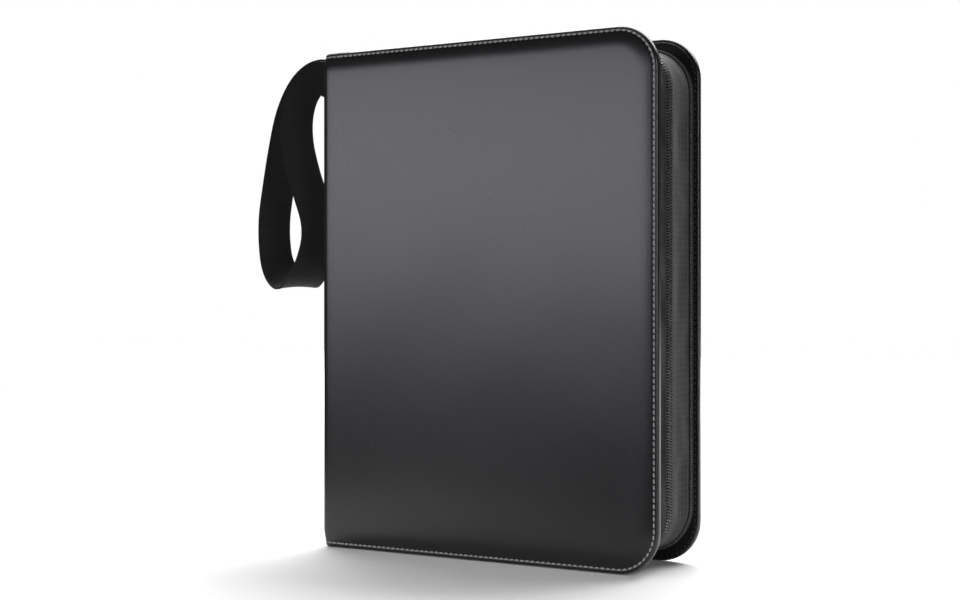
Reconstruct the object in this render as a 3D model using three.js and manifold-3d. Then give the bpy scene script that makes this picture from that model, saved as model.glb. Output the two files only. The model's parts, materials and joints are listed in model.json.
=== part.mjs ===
// A zip-round trading card binder, closed and standing on its foot.
// X runs from the spine to the fore-edge, Y through the thickness (front cover at -Y), Z up.
// The origin is the middle of the spine's foot. Millimetres.
import * as THREE from 'three';
import { mergeVertices } from 'three/addons/utils/BufferGeometryUtils.js';
import Module from 'manifold-3d';

const wasm = await Module();
wasm.setup();

// Case
const height = 345;
const width = 258;
const thickness = 70;
const coverThickness = 6.4;
const spineWall = 5;
const foreRadius = 28;
const hingeRadius = 7;

// Sheets that make up a cover and the spine
const skin = 1;
const foam = 1.8;
const lining = 0.6;
const bindingWidth = 2.2;

// Clearances
const gap = 0.3;
const sheetGap = 0.1;

// Cloth hinges: the axis lies in the corner, this far in from both outer faces
const hingeInset = 2;
const hingeReach = 6.5;
const hingeLeg = 5.7;
const hingeCloth = 1.4;
const spineStep = 7;

// Gusset and zipper, laid round the head, the fore-edge and the foot
const gussetInsetFore = 4.5;
const gussetInsetEnd = 8;
const gussetRadius = 30;
const gussetCloth = 1.2;
const tapeCloth = 0.8;
const tapeOverlap = 10;
const zipFromFront = 27;
const chainWidth = 2.4;
const chainHeight = 2.8;
const chainGap = 1.2;
const weltWidth = 4;
const weltHeight = 3.4;
const bandStart = 8.5;
const chainStart = 12;
const stopLength = 2.5;
const gussetEndCloth = 1.2;

// Zip slider and its pull
const sliderLength = 18;
const sliderWidth = 9;
const sliderPlate = 1.4;
const sliderPost = 0.7;
const sliderStart = 14;
const loopLength = 8;
const loopWidth = 2;
const loopWindow = 2.4;
const loopBar = 1;
const pullLength = 27;
const pullWidth = 6.4;
const pullSheet = 1;
const pullArm = 1.5;

// Ring mechanism
const ringRadius = 14.5;
const ringWire = 3;
const ringStand = 3;
const ringPitch = 108;
const plateLength = 260;
const plateHalf = 14;
const plateRise = 7.9;
const plateSheet = 0.9;
const slotInner = 3;
const slotOuter = 11.6;
const slotHeight = 4.8;
const bladeLength = 226;
const bladeSheet = 1.2;
const bladeStand = 2.1;
const bladeReach = 9.6;
const bladeGap = 0.8;
const leverWidth = 22;
const rivetPitch = 242;
const rivetShank = 1.8;
const rivetHead = 4;
const rivetDome = 1.6;
const rivetTail = 3.5;
const rivetTailSheet = 0.8;
const rivetHole = 2.1;

// Pocket pages
const leavesPerSide = 5;
const leafPitch = 1.3;
const leafSheet = 0.8;
const leafEndGap = 28.5;
const leafForeGap = 11.8;
const leafEndStep = 16;
const leafStrip = 9;
const leafMargin = 7;
const leafCorner = 3;
const leafHole = 4;
const leafSlack = 1.2;

// Hand strap
const strapWidth = 25;
const strapSheet = 1.8;
const strapSteps = 72;
const patchWidth = 26;
const patchLength = 29;
const patchDrop = 6;
const patchSheet = 1.5;
// The loop's centre line, from its front root, down the front leg, round the bottom and up the back
// leg: X from the spine's outer face, Y, Z from the head, how far its inner face has turned over
// (0 faces +Y, 180 faces -Y), and how far that face leans towards the spine. Angles are in degrees.
const strapRoute = [
  [-2.1, -1.2, -19, 0, 0], [-5, -1.2, -19, 0, 0], [-14.5, -1.6, -15.5, 0, 0],
  [-24.5, -1.8, -11.5, 0, 5], [-34, -3, -14.5, 0, 10], [-41, -5.2, -26, 0, 15],
  [-43.2, -8, -42, 0, 20], [-40.7, -10, -61, 0, 20], [-33.1, -12, -83, 0, 20],
  [-26.9, -13, -97, 0, 20], [-20.7, -13.5, -114, 0, 20], [-20.1, -13.4, -130, 8, 20],
  [-25.5, -12, -146, 30, 20], [-36, -7, -157.5, 65, 10], [-48.5, 0, -162, 90, 0],
  [-63.5, 7, -158.5, 120, 10], [-76, 12, -147, 155, 20], [-80.1, 13, -131, 172, 20],
  [-80.3, 13, -112, 180, 20], [-76.7, 12, -93, 180, 20], [-67.5, 8, -61, 180, 15],
  [-59, 5, -37, 180, 10], [-48.5, 3, -20, 180, 5], [-37.5, 2.4, -11, 180, 0],
  [-25.5, 2, -9.5, 180, 0], [-14.5, 1.6, -14.5, 180, 0], [-5, 1.2, -19, 180, 0],
  [-2.1, 1.2, -19, 180, 0],
];

// Worked out from the sizes above
const spineOuter = -spineWall / 2;
const spineInner = spineWall / 2;
const foreEdge = spineOuter + width;
const middleZ = height / 2;
const axisX = spineOuter + hingeInset;
const coverStart = axisX + hingeReach;
const spineHalf = thickness / 2 - spineStep;
const zipY = zipFromFront - thickness / 2;
const gussetTop = height - gussetInsetEnd;
const sliderFoot = gussetTop - gussetCloth - tapeCloth - 2 * sheetGap - sliderPlate;
const sliderTop = gussetTop - tapeCloth / 2 + chainHeight / 2 + gap;
const ringX = spineInner + ringStand + ringRadius;
const plateTop = spineInner + plateRise;
const bladeX = spineInner + bladeStand;
const archRise = plateRise - sheetGap;
const archRadius = (plateHalf ** 2 + archRise ** 2) / (2 * archRise);
const archX = plateTop - archRadius;
const leafHeight = height - 2 * leafEndGap;
const leafReach = foreEdge - leafForeGap - ringX - ringRadius - leafSlack;
const patchHead = height - patchDrop;

const finish = {
  leather: { color: 0x1b1b1c, roughness: 0.5, metalness: 0 },
  binding: { color: 0x141415, roughness: 0.55, metalness: 0 },
  foam: { color: 0x8d8d88, roughness: 1, metalness: 0 },
  board: { color: 0x8c8373, roughness: 0.95, metalness: 0 },
  lining: { color: 0x131313, roughness: 0.9, metalness: 0 },
  gusset: { color: 0x343433, roughness: 0.95, metalness: 0 },
  chain: { color: 0x1d1d1f, roughness: 0.4, metalness: 0 },
  steel: { color: 0xc9cbcd, roughness: 0.2, metalness: 1 },
  blackSteel: { color: 0x121212, roughness: 0.4, metalness: 0.6 },
  film: { color: 0xeef0f1, roughness: 0.25, metalness: 0 },
  webbing: { color: 0x17171a, roughness: 0.9, metalness: 0 },
};

const binder = new THREE.Group();
binder.name = 'trading_card_binder';

function add(name, geometry, look) {
  const mesh = new THREE.Mesh(geometry, new THREE.MeshStandardMaterial(finish[look]));
  mesh.name = name;
  binder.add(mesh);
}

// Solids that are joined or cut
function toSolid(geometry) {
  const bare = geometry.clone();
  bare.deleteAttribute('normal');
  bare.deleteAttribute('uv');
  const merged = mergeVertices(bare, 1e-4);
  const mesh = new wasm.Mesh({
    numProp: 3,
    vertProperties: merged.attributes.position.array,
    triVerts: new Uint32Array(merged.index.array),
  });
  return new wasm.Manifold(mesh);
}

function toGeometry(solid) {
  const mesh = solid.getMesh();
  const geometry = new THREE.BufferGeometry();
  geometry.setAttribute('position', new THREE.BufferAttribute(mesh.vertProperties, 3));
  geometry.setIndex(new THREE.BufferAttribute(mesh.triVerts, 1));
  geometry.computeVertexNormals();
  return geometry;
}

function join(first, ...others) {
  return toGeometry(others.reduce((whole, other) => whole.add(toSolid(other)), toSolid(first)));
}

function cut(first, ...others) {
  return toGeometry(others.reduce((whole, other) => whole.subtract(toSolid(other)), toSolid(first)));
}

// Plain forms
function box(xs, ys, zs) {
  const size = [xs, ys, zs].map(([low, high]) => high - low);
  const middle = [xs, ys, zs].map(([low, high]) => (low + high) / 2);
  return new THREE.BoxGeometry(...size).translate(...middle);
}

function between(a, b) {
  return a < b ? [a, b] : [b, a];
}

// A sheet whose outline is drawn in X and Z, between two Y values.
function sheet(outline, ys, curveSegments = 10) {
  const [low, high] = between(...ys);
  const options = { depth: high - low, bevelEnabled: false, curveSegments };
  return new THREE.ExtrudeGeometry(outline, options).rotateX(Math.PI / 2).translate(0, high, 0);
}

// A bar whose section is drawn in X and Y, between two Z values.
function bar(section, [low, high], curveSegments = 10) {
  const options = { depth: high - low, bevelEnabled: false, curveSegments };
  return new THREE.ExtrudeGeometry(section, options).translate(0, 0, low);
}

function pin(radius, [low, high], z, sides = 20) {
  return new THREE.CylinderGeometry(radius, radius, high - low, sides)
    .rotateZ(-Math.PI / 2)
    .translate((low + high) / 2, 0, z);
}

function outlineOf(points) {
  return new THREE.Shape(points.map(([x, y]) => new THREE.Vector2(x, y)));
}

// A cover's outline, pulled in all round by an inset.
function coverOutline(inset, start = coverStart) {
  const left = start + inset;
  const right = foreEdge - inset;
  const head = height - inset;
  const inner = hingeRadius - Math.min(inset, hingeRadius / 2);
  const outer = foreRadius - inset;
  const outline = new THREE.Shape();
  outline.moveTo(left, inset + inner);
  outline.absarc(left + inner, inset + inner, inner, Math.PI, 1.5 * Math.PI, false);
  outline.absarc(right - outer, inset + outer, outer, 1.5 * Math.PI, 2 * Math.PI, false);
  outline.absarc(right - outer, head - outer, outer, 0, 0.5 * Math.PI, false);
  outline.absarc(left + inner, head - inner, inner, 0.5 * Math.PI, Math.PI, false);
  return outline;
}

// The C that follows the head, the fore-edge and the foot, `depth` wide on its inner side.
function bandOutline(start, insetEnd, insetFore, radius, depth) {
  const right = foreEdge - insetFore - radius;
  const head = height - insetEnd;
  const outline = new THREE.Shape();
  outline.moveTo(start, head);
  outline.lineTo(right, head);
  outline.absarc(right, head - radius, radius, 0.5 * Math.PI, 0, true);
  outline.absarc(right, insetEnd + radius, radius, 0, -0.5 * Math.PI, true);
  outline.lineTo(start, insetEnd);
  outline.lineTo(start, insetEnd + depth);
  outline.absarc(right, insetEnd + radius, radius - depth, -0.5 * Math.PI, 0, false);
  outline.absarc(right, head - radius, radius - depth, 0, 0.5 * Math.PI, false);
  outline.lineTo(start, head - depth);
  return outline;
}

// A band that hangs between the covers, `outset` proud of the gusset's outer face.
function gussetBand(start, outset, depth, ys) {
  const outline = bandOutline(
    start,
    gussetInsetEnd - outset,
    gussetInsetFore - outset,
    gussetRadius + outset,
    depth,
  );
  return sheet(outline, ys);
}

// Covers. `side` is -1 for the front and 1 for the back; depths run in from the outer face.
function coverLayer(side, from, to, outline) {
  const face = thickness / 2;
  return sheet(outline, [side * (face - from), side * (face - to)]);
}

function addCover(name, side) {
  const rimStart = coverStart + hingeRadius;
  const rim = bandOutline(rimStart, 0, 0, foreRadius, bindingWidth);
  const rimRoom = bandOutline(rimStart - gap, -1, -1, foreRadius + 1, 1 + bindingWidth + sheetGap);
  const foamFrom = skin + sheetGap;
  const boardFrom = foamFrom + foam + sheetGap;
  const liningFrom = coverThickness - lining;
  const inset = bindingWidth + 2 * sheetGap;
  const outerY = thickness / 2;
  const face = coverLayer(side, 0, skin, coverOutline(0));
  const room = coverLayer(side, -1, skin + 1, rimRoom);
    const edge = box(
    [coverStart, coverStart + skin],
    between(side * (outerY - skin / 2), side * (outerY - liningFrom + sheetGap)),
    [hingeRadius + inset, height - hingeRadius - inset],
  );
  add(`${name}_skin`, join(cut(face, room), edge), 'leather');
  add(`${name}_edge_binding`, coverLayer(side, 0, coverThickness, rim), 'binding');
  add(`${name}_foam`, coverLayer(side, foamFrom, foamFrom + foam, coverOutline(inset)), 'foam');
  const boardOutline = coverOutline(inset);
  add(`${name}_board`, coverLayer(side, boardFrom, liningFrom - sheetGap, boardOutline), 'board');
  add(`${name}_lining`, coverLayer(side, liningFrom, coverThickness, coverOutline(inset)), 'lining');
}

// Spine: a board between a leather skin that turns in over its ends and a cloth lining.
function rivetZs() {
  return [middleZ - rivetPitch / 2, middleZ + rivetPitch / 2];
}

function addSpine() {
  const ys = [-spineHalf, spineHalf];
  const boardYs = [-spineHalf + sheetGap, spineHalf - sheetGap];
  const skinIn = spineOuter + skin;
  const liningIn = spineInner - lining;
  const back = box([spineOuter, skinIn], ys, [0, height]);
  const foot = box([spineOuter, spineInner], ys, [0, skin]);
  const head = box([spineOuter, spineInner], ys, [height - skin, height]);
  add('spine_skin', join(back, foot, head), 'leather');
  const inner = [skin + sheetGap, height - skin - sheetGap];
  const boardXs = [skinIn + sheetGap, liningIn - sheetGap];
  const recess = [boardXs[0] - 1, boardXs[0] + rivetTailSheet + gap];
  const holes = rivetZs().map((z) => pin(rivetHole, [spineOuter, spineInner + 1], z));
  const recesses = rivetZs().map((z) => pin(rivetTail + gap, recess, z));
  add('spine_board', cut(box(boardXs, boardYs, inner), ...holes, ...recesses), 'board');
  add('spine_lining', cut(box([liningIn, spineInner], boardYs, inner), ...holes), 'lining');
  rivetZs().forEach((z, i) => addRivet(['ring_rivet_bottom', 'ring_rivet_top'][i], z, boardXs[0]));
}

function addRivet(name, z, tailX) {
  const from = tailX + sheetGap;
  const tailTo = from + rivetTailSheet;
  const headFrom = plateTop + sheetGap;
  const profile = [[0, from], [rivetTail, from], [rivetTail, tailTo], [rivetShank, tailTo]];
  profile.push([rivetShank, headFrom], [rivetHead, headFrom]);
  for (const turn of [0.25, 0.5, 0.75]) {
    const angle = turn * Math.PI / 2;
    profile.push([rivetHead * Math.cos(angle), headFrom + rivetDome * Math.sin(angle)]);
  }
  profile.push([0, headFrom + rivetDome]);
  const points = profile.map(([radius, x]) => new THREE.Vector2(radius, x));
  const turned = new THREE.LatheGeometry(points, 20).rotateZ(-Math.PI / 2).translate(0, 0, z);
  add(name, turned, 'steel');
}

// The cloth that turns the corner from the spine to a cover.
function addHinge(name, side) {
  const y = side * (thickness / 2 - hingeInset);
  const outer = hingeInset;
  const inner = hingeInset - hingeCloth;
  const section = new THREE.Shape();
  section.moveTo(axisX - outer, side * (spineHalf + gap));
  section.lineTo(axisX - outer, y);
  if (side < 0) {
    section.absarc(axisX, y, outer, Math.PI, 1.5 * Math.PI, false);
  } else {
    section.absarc(axisX, y, outer, Math.PI, 0.5 * Math.PI, true);
  }
  section.lineTo(axisX + hingeLeg, y + side * outer);
  section.lineTo(axisX + hingeLeg, y + side * inner);
  section.lineTo(axisX - inner, y + side * inner);
  section.lineTo(axisX - inner, side * (spineHalf + gap));
  add(name, bar(section, [hingeInset, height - hingeInset]), 'leather');
}

// The folded cloth that joins the gusset to the spine at the head and at the foot.
function addGussetEnds() {
  const xs = [spineInner + gap, bandStart - gap];
  const ys = [-spineHalf + 1, spineHalf - 1];
  add('gusset_end_top', box(xs, ys, [gussetTop - gussetEndCloth, gussetTop]), 'gusset');
  add('gusset_end_bottom', box(xs, ys, [gussetInsetEnd, gussetInsetEnd + gussetEndCloth]), 'gusset');
}

// Gusset, tapes and chains
function addZipper() {
  const liningY = thickness / 2 - coverThickness;
  const frontChain = [zipY - chainGap / 2 - chainWidth, zipY - chainGap / 2];
  const backChain = [zipY + chainGap / 2, zipY + chainGap / 2 + chainWidth];
  const gussetFrom = backChain[1] + 1;
  const weltFrom = liningY - gap - weltWidth;
  const weltProud = (weltHeight - gussetCloth) / 2;
  const chainProud = (chainHeight - tapeCloth) / 2;
  const frontTape = [-liningY + gap, frontChain[0] - sheetGap];
  add('zipper_tape_front', gussetBand(bandStart, 0, tapeCloth, frontTape), 'gusset');
  add('zipper_teeth_front', gussetBand(chainStart, chainProud, chainHeight, frontChain), 'chain');
  add('zipper_teeth_back', gussetBand(chainStart, chainProud, chainHeight, backChain), 'chain');
  const tapeUnder = -gussetCloth - sheetGap;
  const backTape = [backChain[1] + sheetGap, gussetFrom + tapeOverlap];
  add('zipper_tape_back', gussetBand(bandStart, tapeUnder, tapeCloth, backTape), 'gusset');
  const gussetYs = [gussetFrom, weltFrom - sheetGap];
  add('back_gusset', gussetBand(bandStart, 0, gussetCloth, gussetYs), 'gusset');
  const weltYs = [weltFrom, weltFrom + weltWidth];
  add('back_gusset_welt', gussetBand(bandStart, weltProud, weltHeight, weltYs), 'binding');
  const stopXs = [chainStart - gap - stopLength, chainStart - gap];
  const chainTop = [gussetTop + chainProud - chainHeight, gussetTop + chainProud];
  const chainFoot = chainTop.map((z) => height - z).reverse();
  add('zip_stop_top', box(stopXs, backChain, chainTop), 'blackSteel');
  add('zip_stop_bottom', box(stopXs, backChain, chainFoot), 'blackSteel');
}

// The slider has a plate on each side of the chains, a post between them, and a loop for the pull.
function addSlider() {
  const xs = [sliderStart, sliderStart + sliderLength];
  const ys = [zipY - sliderWidth / 2, zipY + sliderWidth / 2];
  const plates = [[sliderFoot, sliderFoot + sliderPlate], [sliderTop, sliderTop + sliderPlate]];
  const [foot, top] = plates.map((zs) => box(xs, ys, zs));
  const postYs = [zipY - sliderPost / 2, zipY + sliderPost / 2];
  const post = box([xs[0], xs[0] + 3], postYs, [sliderFoot, sliderTop + sliderPlate]);
  const loopXs = [xs[0] + 5, xs[0] + 5 + loopLength];
  const loopZ = sliderTop + sliderPlate;
  const loopYs = [zipY - loopWidth / 2, zipY + loopWidth / 2];
  const loop = box(loopXs, loopYs, [loopZ - sliderPlate / 2, loopZ + loopWindow + loopBar]);
  const windowXs = [loopXs[0] + loopBar, loopXs[1] - loopBar];
  const window = box(windowXs, [zipY - loopWidth, zipY + loopWidth], [loopZ, loopZ + loopWindow]);
  add('zip_slider', join(foot, top, post, cut(loop, window)), 'blackSteel');
  addPull((windowXs[0] + windowXs[1]) / 2, loopZ + loopWindow / 2);
}

// A flat tab whose closed eye passes through the slider's loop.
function addPull(x, z) {
  const zs = [z - pullSheet / 2, z + pullSheet / 2];
  const left = x - pullArm / 2;
  const half = pullWidth / 2;
  const tip = 2.4;
  const outline = outlineOf([
    [left, zipY - half],
    [left + pullLength - tip, zipY - half],
    [left + pullLength, zipY - half + tip],
    [left + pullLength, zipY + half - tip],
    [left + pullLength - tip, zipY + half],
    [left, zipY + half],
  ]);
  const eye = box(
    [left + pullArm, left + pullArm + loopLength],
    [zipY - half + pullArm, zipY + half - pullArm],
    [zs[0] - 1, zs[1] + 1],
  );
  add('zip_pull', cut(bar(outline, zs), eye), 'blackSteel');
}

// Ring mechanism
function arcY(radius, x) {
  return Math.sqrt(radius ** 2 - (x - archX) ** 2);
}

function addRingPlate() {
  const seat = spineInner + sheetGap;
  const outerTurn = Math.atan2(arcY(archRadius, seat), seat - archX);
  const innerRadius = archRadius - plateSheet;
  const innerTurn = Math.atan2(arcY(innerRadius, seat), seat - archX);
  const section = new THREE.Shape();
  section.absarc(archX, 0, archRadius, -outerTurn, outerTurn, false);
  section.absarc(archX, 0, innerRadius, innerTurn, -innerTurn, true);
  const zs = [middleZ - plateLength / 2, middleZ + plateLength / 2];
  const slots = [];
  for (const z of ringZs()) {
    for (const side of [-1, 1]) {
      const ys = between(side * slotInner, side * slotOuter);
      slots.push(box([seat + 1, plateTop + 1], ys, [z - slotHeight / 2, z + slotHeight / 2]));
    }
  }
  const holes = rivetZs().map((z) => pin(rivetHole, [seat, plateTop + 1], z));
  add('ring_plate', cut(bar(section, zs, 16), ...slots, ...holes), 'blackSteel');
}

function ringZs() {
  return [middleZ - ringPitch, middleZ, middleZ + ringPitch];
}

// Half of one ring, from its tip down to the blade under the plate.
class HalfRing extends THREE.Curve {
  constructor(side, z) {
    super();
    this.side = side;
    this.z = z;
    this.from = Math.asin(sheetGap * 1.5 / ringRadius);
    this.to = Math.PI - Math.asin(3.5 / ringRadius);
  }

  getPoint(t, target = new THREE.Vector3()) {
    const turn = this.from + t * (this.to - this.from);
    const x = ringX + ringRadius * Math.cos(turn);
    return target.set(x, this.side * ringRadius * Math.sin(turn), this.z);
  }
}

function addRingHalf(name, side) {
  const ys = between(side * bladeGap / 2, side * bladeReach);
  const zs = [middleZ - bladeLength / 2, middleZ + bladeLength / 2];
  const wireSection = new THREE.Shape();
  for (let i = 0; i < 8; i += 1) {
    const turn = i * Math.PI / 4;
    const x = ringWire / 2 * Math.cos(turn);
    const y = ringWire / 2 * Math.sin(turn);
    if (i === 0) {
      wireSection.moveTo(x, y);
    } else {
      wireSection.lineTo(x, y);
    }
  }
  const wires = ringZs().map((z) => {
    const extrudePath = new HalfRing(side, z);
    return new THREE.ExtrudeGeometry(wireSection, { steps: 18, extrudePath, bevelEnabled: false });
  });
  add(name, join(box([bladeX, bladeX + bladeSheet], ys, zs), ...wires), 'steel');
}

// A thumb lever that caps an end of the plate; `end` is 1 at the head and -1 at the foot.
function addLever(name, end) {
  const base = middleZ + end * (plateLength / 2 + gap);
  const profile = [
    [3, 0], [0.9, 2.2], [0.9, 4.6], [6, 5.4], [15, 9], [16.5, 6.6], [8.7, 3], [8.1, 0],
  ];
  const points = profile.map(([x, rise]) => [spineInner + x, base + end * rise]);
  if (end > 0) points.reverse();
  add(name, sheet(outlineOf(points), [-leverWidth / 2, leverWidth / 2]), 'blackSteel');
}

// Pocket pages, hung on the rings on both sides of the middle.
function leafOutline(holeX) {
  const left = holeX - leafMargin;
  const step = holeX + leafStrip;
  const right = holeX + leafReach;
  const tall = leafHeight / 2;
  const short = tall - leafEndStep;
  const upper = [
    [left, short - leafCorner], [left + leafCorner, short], [step, short], [step + leafCorner, tall],
    [right - leafCorner, tall], [right, tall - leafCorner],
  ];
  const lower = upper.map(([x, z]) => [x, -z]).reverse();
  const points = [...upper, ...lower].map(([x, z]) => [x, z + middleZ]);
  const outline = outlineOf(points.reverse());
  for (const z of ringZs()) {
    const hole = new THREE.Path();
    hole.absarc(holeX, z, leafHole, 0, 2 * Math.PI, true);
    outline.holes.push(hole);
  }
  return outline;
}

function addLeaves(name, side) {
  for (let i = 0; i < leavesPerSide; i += 1) {
    const offset = leafPitch * (i + 0.5);
    const holeX = ringX + Math.sqrt(ringRadius ** 2 - offset ** 2) + leafSlack;
    const ys = [side * (offset - leafSheet / 2), side * (offset + leafSheet / 2)];
    add(`${name}_${i + 1}`, sheet(leafOutline(holeX), ys, 6), 'film');
  }
}

// A path that carries its own faces, so that webbing keeps its flat side where it should be.
class StrapPath extends THREE.CatmullRomCurve3 {
  constructor(route) {
    super(route.map(([x, y, z]) => new THREE.Vector3(x, y, z)));
    this.faces = new THREE.CatmullRomCurve3(route.map(([, , , turn, lean]) => {
      const t = THREE.MathUtils.degToRad(turn);
      const l = THREE.MathUtils.degToRad(lean);
      return new THREE.Vector3(-Math.cos(t) * Math.sin(l), Math.cos(t) * Math.cos(l), Math.sin(t));
    }));
  }

  computeFrenetFrames(segments) {
    const frames = { tangents: [], normals: [], binormals: [] };
    for (let i = 0; i <= segments; i += 1) {
      const u = i / segments;
      const tangent = this.getTangentAt(u);
      const face = this.faces.getPoint(this.getUtoTmapping(u));
      const across = new THREE.Vector3().crossVectors(face, tangent).normalize();
      frames.tangents.push(tangent);
      frames.binormals.push(across);
      frames.normals.push(new THREE.Vector3().crossVectors(across, tangent));
    }
    return frames;
  }
}

// Hand strap: one length of webbing, doubled into a loop and sewn under a patch on the spine.
function addStrap() {
  const patchXs = [spineOuter - sheetGap - patchSheet, spineOuter - sheetGap];
  const patchYs = [-patchWidth / 2, patchWidth / 2];
  add('strap_anchor_patch', box(patchXs, patchYs, [patchHead - patchLength, patchHead]), 'leather');
  const w = strapWidth / 2;
  const t = strapSheet / 2;
  const section = outlineOf([[-t, -w], [t, -w], [t, w], [-t, w]]);
  const route = strapRoute.map(([x, y, z, ...face]) => [spineOuter + x, y, height + z, ...face]);
  const options = { steps: strapSteps, extrudePath: new StrapPath(route), bevelEnabled: false };
  add('hand_strap', new THREE.ExtrudeGeometry(section, options), 'webbing');
}

addCover('back_cover', 1);
addCover('front_cover', -1);
addSpine();
addHinge('hinge_flex_front', -1);
addHinge('hinge_flex_back', 1);
addGussetEnds();
addZipper();
addSlider();
addRingPlate();
addRingHalf('ring_half_front', -1);
addRingHalf('ring_half_back', 1);
addLever('lever_top', 1);
addLever('lever_bottom', -1);
addLeaves('page_front', -1);
addLeaves('page_back', 1);
addStrap();

export default binder;
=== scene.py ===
import json
import math
import random
import bmesh
import bpy
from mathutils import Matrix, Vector, noise
from mathutils.geometry import delaunay_2d_cdt

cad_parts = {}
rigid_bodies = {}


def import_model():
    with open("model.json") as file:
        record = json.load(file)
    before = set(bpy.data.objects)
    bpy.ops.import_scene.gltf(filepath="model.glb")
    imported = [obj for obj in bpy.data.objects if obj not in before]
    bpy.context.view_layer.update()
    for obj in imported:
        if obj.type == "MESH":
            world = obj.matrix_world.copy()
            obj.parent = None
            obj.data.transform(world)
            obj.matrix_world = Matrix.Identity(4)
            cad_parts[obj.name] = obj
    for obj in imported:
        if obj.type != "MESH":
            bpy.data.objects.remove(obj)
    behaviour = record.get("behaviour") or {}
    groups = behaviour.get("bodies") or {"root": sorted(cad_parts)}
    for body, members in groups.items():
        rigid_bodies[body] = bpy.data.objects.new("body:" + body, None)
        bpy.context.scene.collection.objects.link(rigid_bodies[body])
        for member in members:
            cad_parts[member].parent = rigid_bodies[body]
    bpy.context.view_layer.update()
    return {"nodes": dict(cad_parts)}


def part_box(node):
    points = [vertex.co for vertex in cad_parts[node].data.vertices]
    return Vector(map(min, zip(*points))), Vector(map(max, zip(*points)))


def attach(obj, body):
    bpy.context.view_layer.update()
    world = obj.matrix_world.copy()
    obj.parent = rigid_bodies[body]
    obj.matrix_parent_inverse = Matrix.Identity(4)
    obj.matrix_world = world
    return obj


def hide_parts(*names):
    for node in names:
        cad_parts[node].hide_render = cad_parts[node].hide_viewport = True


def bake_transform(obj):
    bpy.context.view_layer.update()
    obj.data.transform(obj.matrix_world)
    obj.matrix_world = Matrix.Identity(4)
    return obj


# A zip-round trading card binder. Lengths in this file are millimetres; the meshes are in metres.
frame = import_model()
mm = 0.001
dice = random.Random(7)


def nodeBox(node):
    low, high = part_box(node)
    return Vector(low) / mm, Vector(high) / mm


# places taken from the frame
frontSkin = nodeBox("front_cover_skin")
frontRim = nodeBox("front_cover_edge_binding")
spineBox = nodeBox("spine_skin")
gussetBox = nodeBox("back_gusset")
coverStart = frontSkin[0].x
foreEdge = frontRim[1].x
caseTop = frontRim[1].z
midZ = caseTop / 2
outerY = -frontSkin[0].y
spineOuter, spineInner = spineBox[0].x, spineBox[1].x
spineHalf = spineBox[1].y
gussetTop = gussetBox[1].z
gussetFore = gussetBox[1].x
bandStart = gussetBox[0].x
ringHeights = [midZ + k * 108.0 for k in (-1, 0, 1)]  # the rings stand 108 apart


# small tools
def smooth(t):
    t = min(1.0, max(0.0, t))
    return t * t * (3 - 2 * t)


def makePiece(name, verts, faces, material, uvs=None, flat=False):
    mesh = bpy.data.meshes.new(name)
    mesh.from_pydata([Vector(v) * mm for v in verts], [], faces)
    mesh.validate()
    if uvs:
        layer = mesh.uv_layers.new(name="cloth")
        for loop in mesh.loops:
            u, v = uvs[loop.vertex_index]
            layer.data[loop.index].uv = (u * mm, v * mm)
    for polygon in mesh.polygons:
        polygon.use_smooth = not flat
    mesh.set_sharp_from_angle(angle=math.radians(48))
    mesh.materials.append(material)
    piece = bpy.data.objects.new(name, mesh)
    bpy.context.scene.collection.objects.link(piece)
    return piece


def place(piece, body, nodes=()):
    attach(piece, body)
    if nodes:
        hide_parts(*nodes)
    return piece


def bendPiece(piece, bodies, start, end, slot, nodes=()):
    Vector(start) * mm
    Vector(end) * mm
    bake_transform(piece)
    if nodes:
        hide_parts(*nodes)
    return piece


# Gives a piece of the frame another finish.
def coat(name, material):
    node = frame["nodes"][name]
    node.data.materials.clear()
    node.data.materials.append(material)
    return node


# Faces between rows of equal length; rows are lists of points.
def skinRows(rows, closedRow=True, capEnds=True, closedRows=False):
    verts = [p for row in rows for p in row]
    n, count = len(rows[0]), len(rows)
    faces = []
    for i in range(count if closedRows else count - 1):
        a, b = i * n, (i + 1) % count * n
        for j in range(n if closedRow else n - 1):
            k = (j + 1) % n
            faces.append((a + j, a + k, b + k, b + j))
    if capEnds and closedRow and not closedRows:
        faces.append(tuple(reversed(range(n))))
        faces.append(tuple((count - 1) * n + j for j in range(n)))
    return verts, faces


def joinParts(parts):
    verts, faces = [], []
    for v, f in parts:
        base = len(verts)
        verts += v
        faces += [tuple(i + base for i in face) for face in f]
    return verts, faces


# A rounded grain, such as one stitch or one zip tooth: size is its half length, width and height.
def bead(centre, along, across, up, size, sides=8, rings=5):
    verts = [centre - along * size[0]]
    for i in range(1, rings):
        a = math.pi * i / rings
        reach, girth = -math.cos(a), math.sin(a) ** 0.6
        for j in range(sides):
            b = 2 * math.pi * j / sides
            side = across * (size[1] * math.cos(b)) + up * (size[2] * math.sin(b))
            verts.append(centre + along * (size[0] * reach) + side * girth)
    verts.append(centre + along * size[0])
    faces = []
    for j in range(sides):
        k = (j + 1) % sides
        faces.append((0, 1 + k, 1 + j))
        for i in range(rings - 2):
            a = 1 + i * sides
            faces.append((a + j, a + k, a + sides + k, a + sides + j))
        a = 1 + (rings - 2) * sides
        faces.append((len(verts) - 1, a + j, a + k))
    return verts, faces


def tubeAlong(points, radius, sides=14, closed=False):
    rows = []
    up = Vector((0, 0, 1))
    for i, p in enumerate(points):
        before = points[i - 1] if i or closed else points[0]
        after = points[(i + 1) % len(points)] if closed or i + 1 < len(points) else points[i]
        tangent = (after - before).normalized()
        side = tangent.cross(up).normalized()
        lift = side.cross(tangent)
        turn = [2 * math.pi * j / sides for j in range(sides)]
        rows.append([p + side * (radius * math.cos(a)) + lift * (radius * math.sin(a)) for a in turn])
    return skinRows(rows, closedRows=closed)


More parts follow.
